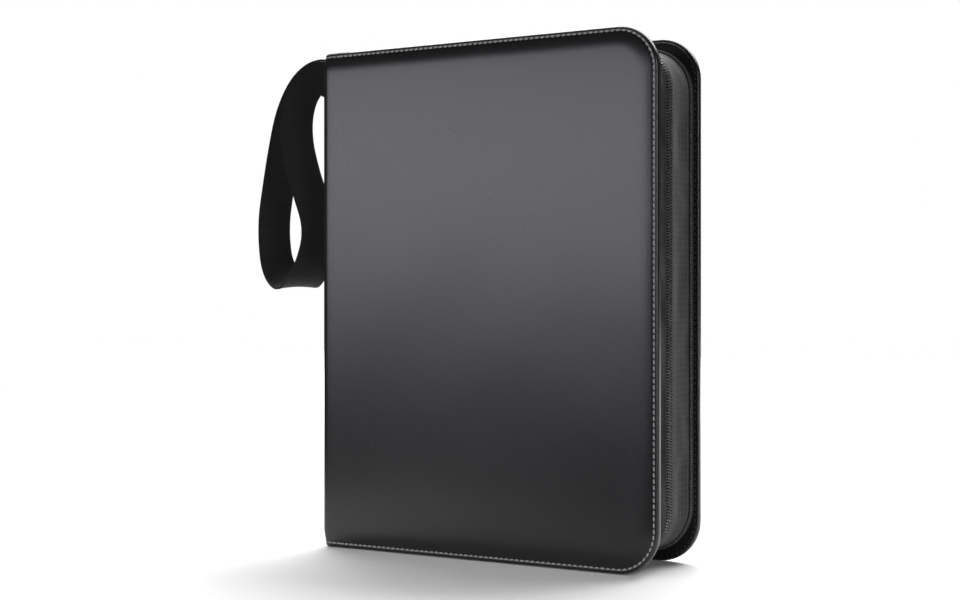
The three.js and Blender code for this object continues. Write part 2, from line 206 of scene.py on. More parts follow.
# materials: each is a node material under construction until its finish returns it
class Finish:
    def __init__(self, name, color, roughness, **sockets):
        self.material = bpy.data.materials.new(name)
        self.material.use_nodes = True
        self.tree = self.material.node_tree
        self.shader = self.tree.nodes["Principled BSDF"]
        self.shader.inputs["Base Color"].default_value = (*color, 1)
        self.shader.inputs["Roughness"].default_value = roughness
        for socket, value in sockets.items():
            self.shader.inputs[socket.replace("_", " ")].default_value = value
        self.height = None

    def node(self, kind, **inputs):
        made = self.tree.nodes.new(kind)
        for key, value in inputs.items():
            self.feed(made.inputs[int(key[1:]) if key[0] == "i" and key[1:].isdigit() else key], value)
        return made

    def feed(self, socket, value):
        if isinstance(value, bpy.types.NodeSocket):
            self.tree.links.new(value, socket)
        else:
            socket.default_value = value

    def coords(self, uv=False, stretch=(1, 1, 1)):
        source = self.tree.nodes.new("ShaderNodeUVMap" if uv else "ShaderNodeTexCoord")
        if uv:
            source.uv_map = "cloth"
        mapping = self.node("ShaderNodeMapping", Scale=stretch)
        self.tree.links.new(source.outputs["UV" if uv else "Object"], mapping.inputs["Vector"])
        return mapping.outputs["Vector"]

    def noise(self, vector, scale, detail=4, rough=0.55):
        made = self.node("ShaderNodeTexNoise", Vector=vector, Scale=scale, Detail=detail, Roughness=rough)
        return made.outputs["Fac"]

    def cells(self, vector, scale, feature="DISTANCE_TO_EDGE"):
        made = self.node("ShaderNodeTexVoronoi", Vector=vector, Scale=scale, Randomness=1.0)
        made.feature = feature
        return made.outputs["Distance"]

    def waves(self, vector, scale, direction, distortion=0.0):
        made = self.node("ShaderNodeTexWave", Vector=vector, Scale=scale, Distortion=distortion)
        made.bands_direction = direction
        return made.outputs["Fac"]

    def math(self, operation, a, b=0.0, clamp=False):
        made = self.tree.nodes.new("ShaderNodeMath")
        made.operation = operation
        made.use_clamp = clamp
        self.feed(made.inputs[0], a)
        self.feed(made.inputs[1], b)
        return made.outputs[0]

    def spread(self, value, low, high, newLow, newHigh):
        made = self.node("ShaderNodeMapRange", **{"From Min": low, "From Max": high,
                                                  "To Min": newLow, "To Max": newHigh})
        self.tree.links.new(value, made.inputs["Value"])
        return made.outputs["Result"]

    def tint(self, factor, dark, light):
        made = self.tree.nodes.new("ShaderNodeMix")
        made.data_type = "RGBA"
        self.feed(made.inputs["Factor"], factor)
        made.inputs["A"].default_value = (*dark, 1)
        made.inputs["B"].default_value = (*light, 1)
        self.tree.links.new(made.outputs["Result"], self.shader.inputs["Base Color"])

    def rough(self, value):
        self.tree.links.new(value, self.shader.inputs["Roughness"])

    def bump(self, value, strength, distance):
        made = self.node("ShaderNodeBump", Strength=strength, Distance=distance, Height=value)
        if self.height is not None:
            self.tree.links.new(self.height, made.inputs["Normal"])
        self.height = made.outputs["Normal"]
        self.tree.links.new(self.height, self.shader.inputs["Normal"])


def leatherFinish(name, color, roughness):
    made = Finish(name, color, roughness, Specular_IOR_Level=0.5)
    at = made.coords()
    cells = made.cells(at, 1150)
    pores = made.noise(at, 2600, 3)
    clouds = made.noise(at, 26, 4)
    wear = made.noise(at, 420, 4, 0.6)
    made.bump(made.spread(cells, 0, 0.12, 0, 1), 0.13, 0.00004)
    made.bump(pores, 0.14, 0.00003)
    made.bump(clouds, 0.02, 0.001)
    dark = tuple(c * 0.8 for c in color)
    light = tuple(c * 1.25 for c in color)
    made.tint(made.spread(clouds, 0.35, 0.65, 0, 1), dark, light)
    made.rough(made.spread(wear, 0.1, 0.9, roughness - 0.02, roughness + 0.04))
    return made.material


# Plain weave on a piece with its own cloth coordinates; a yarn comes every 2 pi pitches, in mm.
def wovenFinish(name, color, roughness, pitch, ribs=1.0, sheen=0.2):
    made = Finish(name, color, roughness, Specular_IOR_Level=0.3, Sheen_Weight=sheen, Sheen_Roughness=0.5)
    at = made.coords(uv=True)
    count = 1000 / pitch / 20  # the wave runs through 20 radians in one unit
    warp = made.waves(at, count, "X", 0.4)
    weft = made.waves(at, count * ribs, "Y", 0.4)
    checks = made.math("MULTIPLY", warp, weft)
    fuzz = made.noise(at, 2200, 3)
    worn = made.noise(at, 45, 4)
    made.bump(checks, 0.65, pitch * 0.25 * mm)
    made.bump(fuzz, 0.35, 0.00012)
    dark = tuple(c * 0.45 for c in color)
    light = tuple(c * 1.5 for c in color)
    shade = made.math("ADD", made.math("MULTIPLY", checks, 0.7), made.math("MULTIPLY", worn, 0.45), True)
    made.tint(shade, dark, light)
    return made.material


def metalFinish(name, color, roughness, metallic, coat=0.0):
    made = Finish(name, color, roughness, Metallic=metallic, Coat_Weight=coat, Coat_Roughness=0.12)
    at = made.coords(stretch=(1, 1, 6))
    scuffs = made.noise(at, 420, 5, 0.7)
    spots = made.noise(at, 60, 3)
    made.bump(scuffs, 0.12, 0.00006)
    made.tint(made.spread(spots, 0.3, 0.7, 0, 1), tuple(c * 0.82 for c in color), color)
    made.rough(made.spread(scuffs, 0.3, 0.7, roughness - 0.05, roughness + 0.12))
    return made.material


def plasticFinish(name, color, roughness):
    made = Finish(name, color, roughness, Specular_IOR_Level=0.5)
    at = made.coords()
    grain = made.noise(at, 900, 3)
    made.bump(grain, 0.15, 0.00006)
    made.tint(grain, tuple(c * 0.7 for c in color), tuple(c * 1.2 for c in color))
    made.rough(made.spread(grain, 0.3, 0.7, roughness - 0.06, roughness + 0.08))
    return made.material


def filmFinish(name, shade):
    made = Finish(name, (shade, shade, shade), 0.25, IOR=1.46)
    at = made.coords()
    haze = made.noise(at, 24, 2)
    made.bump(haze, 0.06, 0.0006)
    dull = (shade * 0.95, shade * 0.96, shade * 0.97)
    made.tint(made.spread(haze, 0.3, 0.7, 0, 1), dull, (shade, shade, shade))
    made.rough(made.spread(haze, 0.3, 0.7, 0.2, 0.32))
    return made.material


def threadFinish():
    made = Finish("stitchThread", (0.3, 0.3, 0.31), 0.65, Sheen_Weight=0.3)
    at = made.coords()
    plies = made.noise(at, 2400, 2)
    made.bump(plies, 0.5, 0.0001)
    made.tint(plies, (0.2, 0.2, 0.205), (0.42, 0.42, 0.43))
    return made.material


def foamFinish():
    made = Finish("paddingFoam", (0.3, 0.3, 0.29), 0.95)
    at = made.coords()
    pores = made.cells(at, 900, "F1")
    made.bump(pores, 0.6, 0.0004)
    made.tint(pores, (0.2, 0.2, 0.19), (0.38, 0.38, 0.36))
    return made.material


def boardFinish():
    made = Finish("greyboard", (0.26, 0.23, 0.18), 0.9)
    at = made.coords(stretch=(1, 1, 0.3))
    fibres = made.noise(at, 500, 6, 0.7)
    made.bump(fibres, 0.4, 0.0002)
    made.tint(fibres, (0.18, 0.16, 0.12), (0.33, 0.3, 0.24))
    return made.material


finishes = {
    "leather": leatherFinish("blackLeather", (0.0045, 0.0045, 0.005), 0.25),
    "edge": leatherFinish("edgeLeather", (0.008, 0.008, 0.008), 0.4),
    "lining": wovenFinish("blackLining", (0.0035, 0.0035, 0.0035), 0.6, 0.5, 1.0, 0.0),
    "gusset": wovenFinish("gussetCloth", (0.0135, 0.0128, 0.0118), 0.85, 0.62, 1.0, 0.12),
    "tape": wovenFinish("zipTape", (0.012, 0.012, 0.012), 0.85, 0.5, 1.0, 0.1),
    "webbing": wovenFinish("strapWebbing", (0.0035, 0.0035, 0.004), 0.8, 0.55, 0.6, 0.03),
    "coil": plasticFinish("zipCoil", (0.075, 0.075, 0.068), 0.24),
    "blackThread": plasticFinish("blackThread", (0.006, 0.006, 0.006), 0.6),
    "zipMetal": metalFinish("blackZipMetal", (0.03, 0.03, 0.032), 0.3, 0.9, 0.4),
    "plate": metalFinish("blackPlate", (0.012, 0.012, 0.012), 0.3, 0.6, 0.6),
    "nickel": metalFinish("ringNickel", (0.78, 0.78, 0.79), 0.16, 1.0),
    "film": filmFinish("pageFilm", 0.88),
    "weldLine": filmFinish("weldLine", 0.5),
    "thread": threadFinish(),
    "foam": foamFinish(),
    "board": boardFinish(),
}
print("materials made")


# Points of a rounded rectangle in two axes, anticlockwise from the lower left corner's end.
# radii are for lower left, lower right, upper right and upper left; every inset gives the same count.
def roundedLoop(low, high, radii, inset, step=3.0, arcSteps=14):
    corners = [(low[0], low[1]), (high[0], low[1]), (high[0], high[1]), (low[0], high[1])]
    loop = []
    for k, (cx, cy) in enumerate(corners):
        r = radii[k]
        mx = cx + (r if k in (0, 3) else -r)
        my = cy + (r if k in (0, 1) else -r)
        reach = max(r - inset, 0.02)
        mx += (inset - r if inset > r else 0) * (1 if k in (0, 3) else -1)
        my += (inset - r if inset > r else 0) * (1 if k in (0, 1) else -1)
        start = math.pi + k * math.pi / 2
        for i in range(arcSteps + 1):
            a = start + math.pi / 2 * i / arcSteps
            loop.append((mx + reach * math.cos(a), my + reach * math.sin(a)))
        nextR = radii[(k + 1) % 4]
        span = (high[0] - low[0] if k % 2 == 0 else high[1] - low[1]) - r - nextR
        loop.append(("gap", max(2, int(span / step))))
    points = []
    for i, item in enumerate(loop):
        if item[0] != "gap":
            points.append(item)
            continue
        a, b = loop[i - 1], loop[(i + 1) % len(loop)]
        for j in range(1, item[1]):
            t = j / item[1]
            points.append((a[0] + (b[0] - a[0]) * t, a[1] + (b[1] - a[1]) * t))
    return points


# How far a point lies inside a rounded rectangle.
def depthIn(p, low, high, radii):
    cx, cy = (low[0] + high[0]) / 2, (low[1] + high[1]) / 2
    k = (1 if p[0] > cx else 0) if p[1] < cy else (2 if p[0] > cx else 3)
    r = radii[k]
    qx = abs(p[0] - cx) - (high[0] - low[0]) / 2 + r
    qy = abs(p[1] - cy) - (high[1] - low[1]) / 2 + r
    return -(min(max(qx, qy), 0) + math.hypot(max(qx, 0), max(qy, 0)) - r)


# Triangles that fill the first loop, with the others as extra rows of points; grid points stay clear.
def fillPanel(loops, inside, step, clear):
    points, edges = [], []
    for loop in loops:
        base = len(points)
        points += [Vector(p) for p in loop]
        edges += [(base + i, base + (i + 1) % len(loop)) for i in range(len(loop))]
    xs = [p[0] for p in loops[0]]
    ys = [p[1] for p in loops[0]]
    nx, ny = int((max(xs) - min(xs)) / step), int((max(ys) - min(ys)) / step)
    for i in range(1, nx):
        for j in range(1, ny):
            p = (min(xs) + (max(xs) - min(xs)) * i / nx, min(ys) + (max(ys) - min(ys)) * j / ny)
            if inside(p) > clear:
                points.append(Vector(p))
    made = delaunay_2d_cdt(points, edges, [], 1, 1e-5)
    return [tuple(p) for p in made[0]], [tuple(f) for f in made[2]]


# covers
cover = {
    "cornerRadii": (7, 28, 28, 7),
    # inset from the edge and depth below the outer face, from the stitched border round to the inside
    "rim": [(3.6, 0.8), (3.15, 0.95), (2.8, 1.02), (2.45, 0.95), (2.1, 0.85), (1.6, 0.9), (0.95, 1.2),
            (0.45, 1.65), (0.12, 2.3), (0, 3.0), (0, 5.0), (0.12, 5.6), (0.5, 6.05), (1.2, 6.3), (2.4, 6.38),
            (3.2, 6.2)],
    "proud": 0.5, "rollWidth": 10.0, "stitchInset": 2.8, "border": 3.6, "drop": 0.8,
}
coverLow, coverHigh = (coverStart, 0.0), (foreEdge, caseTop)


# How far the face sinks towards its stitched border; inside is the distance from the edge.
def borderDrop(inside):
    border, rim = cover["border"], cover["rim"]
    if inside < border:
        for (d1, h1), (d0, h0) in zip(rim, rim[1:]):
            if d0 <= inside <= d1:
                return cover["proud"] + h0 + (h1 - h0) * (inside - d0) / max(d1 - d0, 1e-6)
    roll = min(1.0, (inside - border) / cover["rollWidth"])
    return (cover["drop"] + cover["proud"]) * (1 - math.sin(math.pi / 2 * roll))


# How far the padded outer face lies below the nominal one.
def coverDepth(p):
    inside = depthIn(p, coverLow, coverHigh, cover["cornerRadii"])
    open_ = depthIn(p, (coverLow[0] - 60, coverLow[1]), coverHigh, cover["cornerRadii"])
    full = cover["drop"] + cover["proud"]
    hinge = full * (1 - smooth((p[0] - coverStart - cover["border"]) / 4.5))
    drop = full if inside < 3.65 else min(full, math.hypot(borderDrop(open_), hinge))
    swell = noise.noise(Vector((p[0] / 70, p[1] / 80, 3))) * smooth((p[0] - 22) / 20)
    return drop - cover["proud"] - 0.2 * swell * (1 - drop / full)


# Places at an even pitch along a line: the point and the way along it.
def walkLine(points, pitch, offset=0.0):
    reach, at = offset, 0.0
    for a, b in zip(points, points[1:]):
        a, b = Vector(a), Vector(b)
        length = (b - a).length
        while length and reach <= at + length:
            yield a + (b - a) * ((reach - at) / length), (b - a) / length
            reach += pitch
        at += length


# A line along the head, down the fore-edge and back along the foot. Every inset gives the same count.
def wrapLine(x0, x1, z0, z1, radius, inset, step=2.0):
    r = max(radius - inset, 0.5)
    line = []
    n = int((x1 - radius - x0) / step)
    line += [(x0 + (x1 - radius - x0) * i / n, z1 - inset) for i in range(n)]
    line += [(x1 - radius + r * math.sin(math.pi / 2 * i / 20),
              z1 - radius + r * math.cos(math.pi / 2 * i / 20))
             for i in range(21)]
    m = int((z1 - z0 - 2 * radius) / step)
    line += [(x1 - inset, z1 - radius - (z1 - z0 - 2 * radius) * i / m) for i in range(1, m)]
    line += [(x1 - radius + r * math.cos(math.pi / 2 * i / 20),
              z0 + radius - r * math.sin(math.pi / 2 * i / 20))
             for i in range(21)]
    line += [(x1 - radius - (x1 - radius - x0) * i / n, z0 + inset) for i in range(1, n + 1)]
    return line


def weld(piece):
    made = bmesh.new()
    made.from_mesh(piece.data)
    bmesh.ops.remove_doubles(made, verts=made.verts, dist=2e-6)
    bmesh.ops.recalc_face_normals(made, faces=made.faces)
    made.to_mesh(piece.data)
    made.free()
    piece.data.set_sharp_from_angle(angle=math.radians(48))


# A row of stitches on a cover's face; side is -1 on the front cover and 1 on the back.
def stitchRun(name, line, y, side, body, material, pitch=3.9, length=2.9, thick=0.62):
    parts = []
    for p, way in walkLine(line, pitch, 1.5):
        across = Vector((-way.y, 0, way.x))
        along = Vector((way.x, 0, way.y))
        along = (along + across * 0.07).normalized()
        along.y = side * dice.uniform(-0.03, 0.03)
        centre = Vector((p.x, y, p.y))
        parts.append(bead(centre, along, across, Vector((0, side, 0)), (length / 2, thick, thick * 0.8)))
    verts, faces = joinParts(parts)
    piece = makePiece(name, verts, faces, material)
    return place(piece, body)


def addCover(name, side):
    y = lambda depth: side * (outerY - depth)
    rows = [[Vector((p[0], y(h), p[1])) for p in roundedLoop(coverLow, coverHigh, cover["cornerRadii"], d)]
            for d, h in reversed(cover["rim"])]
    verts, faces = skinRows(rows, capEnds=False)
    border = roundedLoop(coverLow, coverHigh, cover["cornerRadii"], cover["border"])
    rolls = [roundedLoop(coverLow, coverHigh, cover["cornerRadii"], d) for d in (5.2, 7, 9, 11.2, 14)]
    inside = lambda p: depthIn(p, coverLow, coverHigh, cover["cornerRadii"])
    flat, tris = fillPanel([border] + rolls, inside, 8, 16.5)
    panel = [Vector((p[0], y(coverDepth(p)), p[1])) for p in flat]
    verts, faces = joinParts([(verts, faces), (panel, tris)])
    shell = makePiece(name + "_leather", verts, faces, finishes["leather"])
    weld(shell)
    place(shell, name, [name + "_skin", name + "_edge_binding"])

    # lining: a thin slab under the turned-in edge
    edge = roundedLoop(coverLow, coverHigh, cover["cornerRadii"], 2.5)
    flat, tris = fillPanel([edge], inside, 12, 8)
    slack = lambda p: 0.12 * noise.noise(Vector((p[0] / 40, p[1] / 45, side * 5)))
    top = [Vector((p[0], y(6.28 + slack(p)), p[1])) for p in flat]
    under = [Vector((p[0], y(5.72), p[1])) for p in flat]
    count, n = len(edge), len(flat)
    walls = [(i, (i + 1) % count, n + (i + 1) % count, n + i) for i in range(count)]
    faces = tris + [tuple(reversed([i + n for i in f])) for f in tris] + walls
    uvs = [(p[0], p[1]) for p in flat] * 2
    lining = makePiece(name + "_lining_cloth", top + under, faces, finishes["lining"], uvs)
    place(lining, name, [name + "_lining"])

    line = wrapLine(coverStart + 6, foreEdge, 0, caseTop, cover["cornerRadii"][1], cover["stitchInset"])
    outer = stitchRun(name + "_stitches", line, y(0.98), side, name, finishes["thread"])
    inner = stitchRun(name + "_inner_stitches", line, y(6.36), side, name, finishes["blackThread"])
    for piece in (outer, inner):
        piece.parent = shell
        piece.matrix_parent_inverse.identity()
    coat(name + "_foam", finishes["foam"])
    coat(name + "_board", finishes["board"])


addCover("front_cover", -1)
addCover("back_cover", 1)
print("covers made")


# spine and hinges
spine = {
    "crown": 0.7, "edgeRoll": 0.9, "leather": 2.5, "cloth": 0.5,
    # one hinge strip, seen from above, as x and distance out from the middle of the case
    "outside": [(-2.3, 22.5), (-2.62, 25.5), (-2.85, 28.5), (-2.8, 31.0), (-2.2, 33.2), (-0.7, 34.8),
                (1.8, 35.45), (5.0, 35.62), (9.0, 35.66), (13.0, 35.6), (16.5, 35.48), (20.0, 35.3)],
    "inside": [(2.45, 26.8), (2.0, 29.0), (1.0, 30.6), (0.7, 31.9), (1.6, 32.4), (3.2, 31.8), (5.2, 30.2),
               (9.0, 28.75)],
}


# Corner cutting that keeps the ends.
def smoothRun(points, rounds=2):
    for _ in range(rounds):
        cut = [points[0]]
        for a, b in zip(points, points[1:]):
            cut.append(tuple(a[k] * 0.75 + b[k] * 0.25 for k in range(len(a))))
            cut.append(tuple(a[k] * 0.25 + b[k] * 0.75 for k in range(len(a))))
        points = cut + [points[-1]]
    return points


# A strip of leather or cloth: run is its shape seen from above; it stands from low to high.
# A bordered one sinks to a stitched border at both ends, as the covers do.
def stripFromRun(name, run, low, high, thick, material, side, bordered=False):
    run = smoothRun(run)
    normals = []
    for i in range(len(run)):
        a, b = run[max(i - 1, 0)], run[min(i + 1, len(run) - 1)]
        d = Vector((b[0] - a[0], b[1] - a[1])).normalized()
        normals.append((d.y, -d.x))
    lengths = [0.0]
    for a, b in zip(run, run[1:]):
        lengths.append(lengths[-1] + math.hypot(b[0] - a[0], b[1] - a[1]))
    body, uvs = [], []
    ends = [0.02, 0.2, 0.6, 1.2, 2.0, 2.45, 2.8, 3.15, 3.6, 4.4, 5.4, 7, 9, 11.2, 14] if bordered else [0]
    gaps = ends + [20 + (high - low - 40) * k / 36 for k in range(37)]
    gaps += [high - low - d for d in reversed(ends)]
    for gap in gaps:
        sink = borderDrop(min(gap, high - low - gap)) if bordered else 0.0
        outer = [(p[0] + n[0] * sink, p[1] + n[1] * sink, u) for p, n, u in zip(run, normals, lengths)]
        under = [(p[0] + n[0] * thick, p[1] + n[1] * thick, u) for p, n, u in zip(run, normals, lengths)]
        section = outer + list(reversed(under))
        body.append([Vector((x, side * y, low + gap)) for x, y, u in section])
        uvs += [(u, low + gap) for x, y, u in section]
    verts, faces = skinRows(body)
    piece = makePiece(name, verts, faces, material, uvs)
    weld(piece)
    return piece


# The covers' stitching carried on over the hinge, at the head and the foot.
def hingeStitches(name, side):
    run = [p for p in smoothRun(spine["outside"]) if p[1] > 32.5 and p[0] < 14]
    sink = borderDrop(cover["stitchInset"]) - 0.05
    parts = []
    for z in (cover["stitchInset"], caseTop - cover["stitchInset"]):
        for p, way in walkLine(list(reversed(run)), 3.9, 2.2):
            out = Vector((-way.y, way.x)) * -1
            at = p - out * sink
            along = Vector((way.x, side * way.y, 0))
            up = Vector((out.x, side * out.y, 0))
            middle = Vector((at.x, side * at.y, z))
            parts.append(bead(middle, along, Vector((0, 0, 1)), up, (1.55, 0.5, 0.4)))
    verts, faces = joinParts(parts)
    return makePiece(name, verts, faces, finishes["thread"])


def addSpine():
    high, half = caseTop, spineHalf - 1.0
    rows = []
    for i in range(60 + 1):
        t = i / 60
        z = 0.15 + (high - 0.3) * t
        end = min(t, 1 - t) * high
        roll = spine["edgeRoll"] * (1 - math.sqrt(max(0.0, 1 - (1 - min(1.0, end / 2.2)) ** 2)))
        row = []
        for j in range(24 + 1):
            y = -half + 2 * half * j / 24
            swell = 0.25 * noise.noise(Vector((1, y / 25, z / 45)))
            lift = spine["crown"] * (1 - (y / half) ** 4) + swell * (1 - (y / half) ** 2)
            row.append(Vector((spineOuter - lift * smooth(end / 8) + roll, y, z)))
        back = spineInner - 0.62 - roll * 0.5
        row += [Vector((back, y, z)) for y in (half, half / 2, 0, -half / 2, -half)]
        rows.append(row)
    verts, faces = skinRows(rows)
    shell = makePiece("spine_leather", verts, faces, finishes["leather"])
    weld(shell)
    place(shell, "spine", ["spine_skin"])
    flat = nodeBox("spine_lining")
    rows = []
    for i in range(41):
        z = flat[0].z - 0.6 + (flat[1].z - flat[0].z + 1.2) * i / 40
        front = [Vector((spineInner + 0.05 * noise.noise(Vector((y / 9, z / 30, 0))), y, z))
                 for y in (-27.6, -14, 0, 14, 27.6)]
        rows.append(front + [Vector((spineInner - 0.6, y, z)) for y in (27.6, 14, 0, -14, -27.6)])
    verts, faces = skinRows(rows)
    uvs = [(v.y, v.z) for v in verts]
    lining = makePiece("spine_lining_cloth", verts, faces, finishes["lining"], uvs)
    weld(lining)
    place(lining, "spine", ["spine_lining"])
    coat("spine_board", finishes["board"])
    for side, word in ((-1, "front"), (1, "back")):
        bodies = ("spine", word + "_cover") if side < 0 else (word + "_cover", "spine")
        first, last = (spineOuter, side * 26.5, 0), (9, side * 35, 0)
        ends = (first, last) if side < 0 else (last, first)
        outer = stripFromRun("hinge_leather_" + word, spine["outside"], 0.0, caseTop, spine["leather"],
                             finishes["leather"], side, True)
        bendPiece(outer, bodies, *ends, "cover_leather", ["hinge_flex_" + word])
        inner = stripFromRun("hinge_lining_" + word, spine["inside"], 2.6, caseTop - 2.6, spine["cloth"],
                             finishes["lining"], side)
        bendPiece(inner, bodies, *ends, "lining")
        stitches = hingeStitches("hinge_stitches_" + word, side)
        bendPiece(stitches, bodies, *ends, "cover_leather")
        for piece, run in ((outer, spine["outside"]), (inner, spine["inside"])):
            length = sum(math.dist(a, b) for a, b in zip(run, run[1:]))


addSpine()
print("spine made")


# gusset, tapes, welt and zip chains
wall = {"radius": 30, "cloth": 1.1, "chainPitch": 1.9}
wallLow, wallHigh = gussetBox[0].z, gussetTop


def wallLine(inset, start=bandStart):
    return wrapLine(start, gussetFore, wallLow, wallHigh, wall["radius"], inset)


# A band that follows the gusset's line. The section is a closed list of places across (y) and insets.
def addBand(name, section, material, body, nodes, start=bandStart, sag=None):
    base = wallLine(0, start)
    lengths = [0.0]
    for a, b in zip(base, base[1:]):
        lengths.append(lengths[-1] + math.dist(a, b))
    around = [0.0]
    for a, b in zip(section, section[1:]):
        around.append(around[-1] + math.dist(a, b))
    rows, uvs = [], []
    for i, s in enumerate(lengths):
        row = []
        for (y, inset), v in zip(section, around):
            extra = sag(s, y) if sag else 0.0
            p = wallPoint(base, i, inset + extra)
            row.append(Vector((p[0], y, p[1])))
            uvs.append((s, v))
        rows.append(row)
    verts, faces = skinRows(rows)
    piece = makePiece(name, verts, faces, material, uvs)
    weld(piece)
    place(piece, body, nodes)
    return piece


def wallPoint(base, i, inset):
    a, b = base[max(i - 1, 0)], base[min(i + 1, len(base) - 1)]
    way = Vector((b[0] - a[0], b[1] - a[1])).normalized()
    return base[i][0] + way.y * inset, base[i][1] - way.x * inset


# Cloth drawn in between two seams, with soft uneven pulls along it.
def slackOf(low, high, depth, seed):
    def slack(s, y):
        t = min(1.0, max(0.0, (y - low) / (high - low)))
        belly = math.sin(math.pi * t)
        pulls = noise.noise(Vector((s / 34, y / 26, seed)))
        pulls += 0.45 * noise.noise(Vector((s / 11, y / 16, seed + 4)))
        return belly * (depth * 0.5 + depth * 0.9 * pulls)
    return slack


def addWalls():
    t = wall["cloth"]
    hem = [(-4.3, 0.75), (-4.1, 0.2), (-3.5, -0.15), (-2.9, -0.1), (-2.5, 0.15), (-2.1, -0.1), (-1.5, -0.15),
           (-0.9, 0.05)]
    back = hem + [(0.2 + 1.6 * k, 0.12) for k in range(15)] + [(23.6, 0.3), (24.0, 0.9)]
    back += [(24.0, 1.7)] + [(22.6 - 2.4 * k, t + 0.12) for k in range(10)] + [(-1.5, t), (-4.0, t)]
    addBand("gusset_back", back, finishes["gusset"], "back_cover", ["back_gusset"],
            sag=slackOf(0.5, 23.4, 1.5, 2))
    front = [(-28.6, 1.0), (-28.5, 0.2)] + [(-27.6 + 1.5 * k, 0.1) for k in range(10)]
    front += [(-13.4, 0.1), (-12.9, -0.1), (-12.2, -0.15), (-11.6, 0.1), (-11.3, 0.5), (-11.3, 0.9)]
    front += [(-13.5, 0.95)] + [(-15.5 - 2.4 * k, 0.95) for k in range(6)]
    addBand("gusset_front", front, finishes["tape"], "front_cover", ["zipper_tape_front"],
            sag=slackOf(-28, -13, 2.6, 9))
    tape = [(-5.6, 1.4), (-5.6, 1.15), (-4.2, 1.2), (5.5, 1.5), (6.2, 1.6), (6.2, 2.1), (5.5, 2.1),
            (-4.2, 1.9)]
    addBand("zip_tape_back", tape, finishes["tape"], "back_cover", ["zipper_tape_back"])
    round_ = [(26.3 + 1.9 * math.cos(a), 0.25 + 1.75 * math.sin(a)) for a in
              [2 * math.pi * k / 12 for k in range(12)]]
    addBand("gusset_welt", round_, finishes["gusset"], "back_cover", ["back_gusset_welt"])
    parts = []
    for p, way in walkLine(wallLine(-0.6), 1.75):
        along = Vector((way.x, 0, way.y))
        out = Vector((-way.y, 0, way.x))
        centre = Vector((p.x, 25.0, p.y))
        parts.append(bead(centre, along, Vector((0, 1, 0)), out, (0.8, 0.8, 0.75), 6, 4))
    verts, faces = joinParts(parts)
    place(makePiece("welt_stitches", verts, faces, finishes["coil"]), "back_cover")
    for name, y, body in (("hem_stitches_back", -2.5, "back_cover"),
                          ("hem_stitches_front", -12.6, "front_cover")):
        parts = []
        for p, way in walkLine(wallLine(0.0), 2.9, 1.0):
            along = Vector((way.x, 0.06, way.y)).normalized()
            out = Vector((-way.y, 0, way.x))
            at = Vector((p.x, y, p.y))
            parts.append(bead(at, along, Vector((0, 1, 0)), out, (1.15, 0.26, 0.22), 6, 4))
        verts, faces = joinParts(parts)
        place(makePiece(name, verts, faces, finishes["coil"]), body)


# One row of coil teeth: each tooth is a loop across the tape with a raised head towards the other row.
def addChain(name, side, y, body, nodes, offset):
    parts = []
    for p, way in walkLine(wallLine(0.35, bandStart + 3.2), wall["chainPitch"], offset):
        along = Vector((way.x, 0, way.y))
        out = Vector((-way.y, 0, way.x))
        across = Vector((0, 1, 0))
        slant = (across + along * 0.12 * side).normalized()
        centre = Vector((p.x, y, p.y))
        parts.append(bead(centre + out * 0.3, slant, along, out, (1.35, 0.5, 0.75), 6, 4))
        head = centre + across * (side * 0.75) + out * 0.5
        parts.append(bead(head, across, along, out, (0.6, 0.62, 0.75), 6, 4))
        heel = centre - across * (side * 0.95) + out * 0.4
        parts.append(bead(heel, across, along, out, (0.45, 0.6, 0.7), 6, 4))
    verts, faces = joinParts(parts)
    return place(makePiece(name, verts, faces, finishes["coil"]), body, nodes)


addWalls()
addChain("zip_chain_front", 1, -9.75, "front_cover", ["zipper_teeth_front"], 0.0)
addChain("zip_chain_back", -1, -6.25, "back_cover", ["zipper_teeth_back"], wall["chainPitch"] / 2)
print("gusset and zip made")


# hand strap
strap = {
    # the middle line from root to root: x, y, z, then the turn and the lean of the inner face in degrees
    "route": [(-4.6, -1.2, 326, 0, 0), (-7.5, -1.2, 326, 0, 0), (-17, -1.6, 329.5, 0, 0),
              (-27, -1.8, 333.5, 0, 5), (-36.5, -3, 330.5, 0, 10), (-43.5, -5.2, 319, 0, 15),
              (-45.7, -8, 303, 0, 20), (-43.2, -10, 284, 0, 20), (-35.6, -12, 262, 0, 20),
              (-29.4, -13, 248, 0, 20), (-23.2, -13.5, 231, 0, 20), (-22.6, -13.4, 215, 8, 20),
              (-28, -12, 199, 30, 20), (-38.5, -7, 187.5, 65, 10), (-51, 0, 183, 90, 0),
              (-66, 7, 186.5, 120, 10), (-78.5, 12, 198, 155, 20), (-82.6, 13, 214, 172, 20),
              (-82.8, 13, 233, 180, 20), (-79.2, 12, 252, 180, 20), (-70, 8, 284, 180, 15),
              (-61.5, 5, 308, 180, 10), (-51, 3, 325, 180, 5), (-40, 2.4, 334, 180, 0),
              (-28, 2, 335.5, 180, 0), (-17, 1.6, 330.5, 180, 0), (-7.5, 1.2, 326, 180, 0),
              (-4.6, 1.2, 326, 180, 0)],
    "width": 25.0, "thick": 1.9, "step": 1.6,
}


